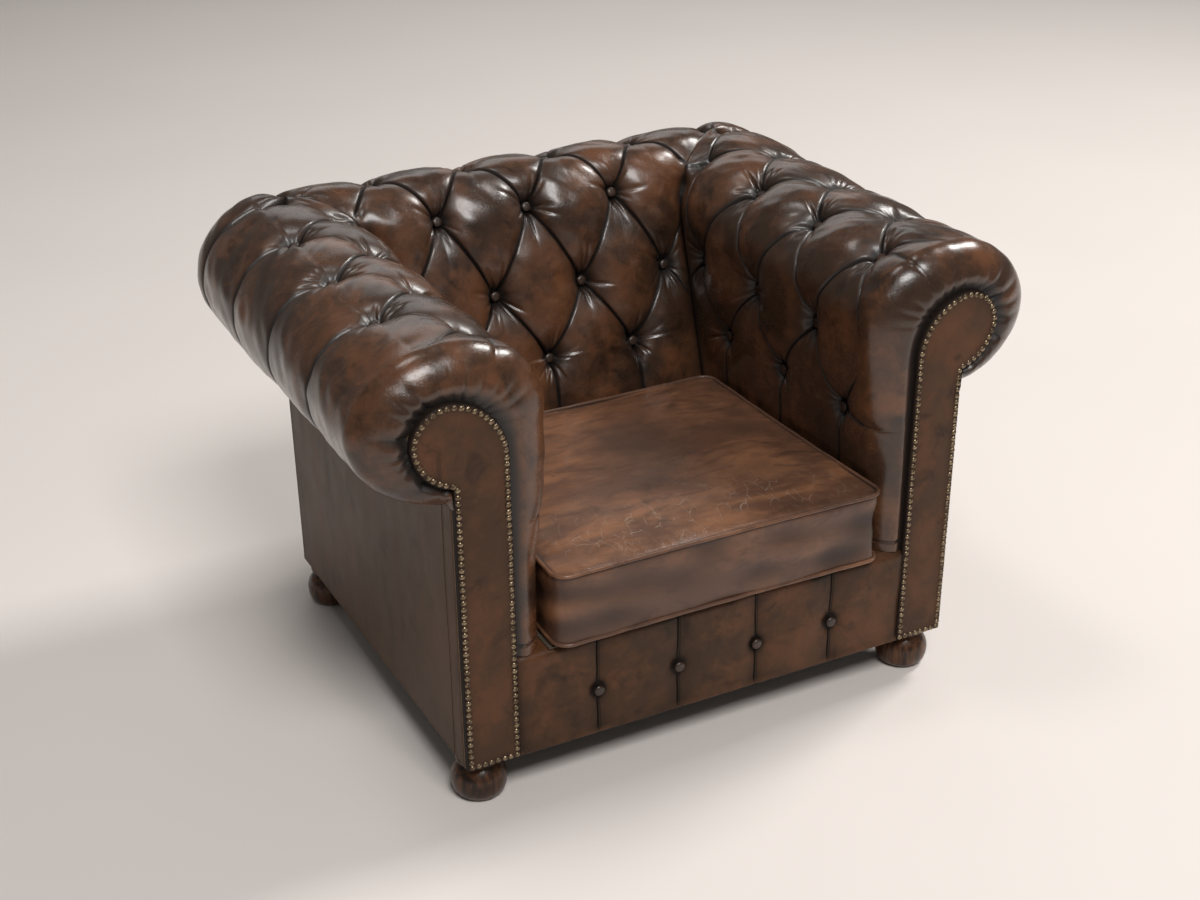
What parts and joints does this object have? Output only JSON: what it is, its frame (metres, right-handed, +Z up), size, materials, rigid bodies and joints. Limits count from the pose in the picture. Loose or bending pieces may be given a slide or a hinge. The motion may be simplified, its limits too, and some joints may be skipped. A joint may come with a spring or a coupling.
{
  "type": "chesterfield armchair",
  "caption": "Low-backed club armchair with rolled, deep-buttoned arms and back, nailed scroll facings, a loose seat cushion and turned bun feet.",
  "frame": {"origin": "on the floor under the middle of the chair's overall width and depth", "axes": "+X to the right as seen from the front, the front faces -Y, +Z up"},
  "size_m": [1.148, 0.909, 0.775],
  "materials": {
    "padded_leather": "aged and waxed, near black in the folds and rubbed red-brown on the crowns",
    "dark_leather": "aged and waxed, dark brown",
    "cushion_leather": "worn mid brown with lighter, crackled patches",
    "stuffing": "hair and cotton under calico",
    "webbing": "woven",
    "frame_beech": "planed, unfinished",
    "turned_wood": "stained red-brown and varnished",
    "nail_brass": "antiqued, domed heads",
    "bolt_steel": "zinc plated"
  },
  "bodies": {
    "chair": {"back_buttons": "dark_leather", "back_centre_post": "frame_beech", "back_lining": "frame_beech", "back_stuffing_rail": "frame_beech", "back_top_rail": "frame_beech", "back_upholstery": "padded_leather", "border_buttons": "dark_leather", "corner_blocks": "frame_beech", "deck_pad": "stuffing", "dust_cover": "webbing", "foot_bolts": "bolt_steel", "front_border": "dark_leather", "front_edge_board": "frame_beech", "front_left_foot": "turned_wood", "front_rail": "frame_beech", "front_right_foot": "turned_wood", "left_arm_buttons": "dark_leather", "left_arm_facing": "dark_leather", "left_arm_lining": "frame_beech", "left_arm_rail": "frame_beech", "left_arm_stuffing_rail": "frame_beech", "left_arm_upholstery": "padded_leather", "left_front_post": "frame_beech", "left_nail_row": "nail_brass", "left_outside_arm_panel": "dark_leather", "left_rear_post": "frame_beech", "left_scroll_board": "frame_beech", "left_side_rail": "frame_beech", "outside_back_panel": "dark_leather", "rear_left_foot": "turned_wood", "rear_rail": "frame_beech", "rear_right_foot": "turned_wood", "right_arm_buttons": "dark_leather", "right_arm_facing": "dark_leather", "right_arm_lining": "frame_beech", "right_arm_rail": "frame_beech", "right_arm_stuffing_rail": "frame_beech", "right_arm_upholstery": "padded_leather", "right_front_post": "frame_beech", "right_nail_row": "nail_brass", "right_outside_arm_panel": "dark_leather", "right_rear_post": "frame_beech", "right_scroll_board": "frame_beech", "right_side_rail": "frame_beech", "seat_platform": "stuffing", "webbing_across": "webbing", "webbing_along": "webbing"},
    "cushion": {"cushion_bottom_piping": "cushion_leather", "cushion_cover": "cushion_leather", "cushion_filling": "stuffing", "cushion_top_piping": "cushion_leather"}
  },
  "joints": [
    {"name": "cushion_pull", "type": "slide", "parent": "chair", "child": "cushion", "axis": [0, -0.9986, 0.0523], "range_m": [0, 0.56]}
  ]
}
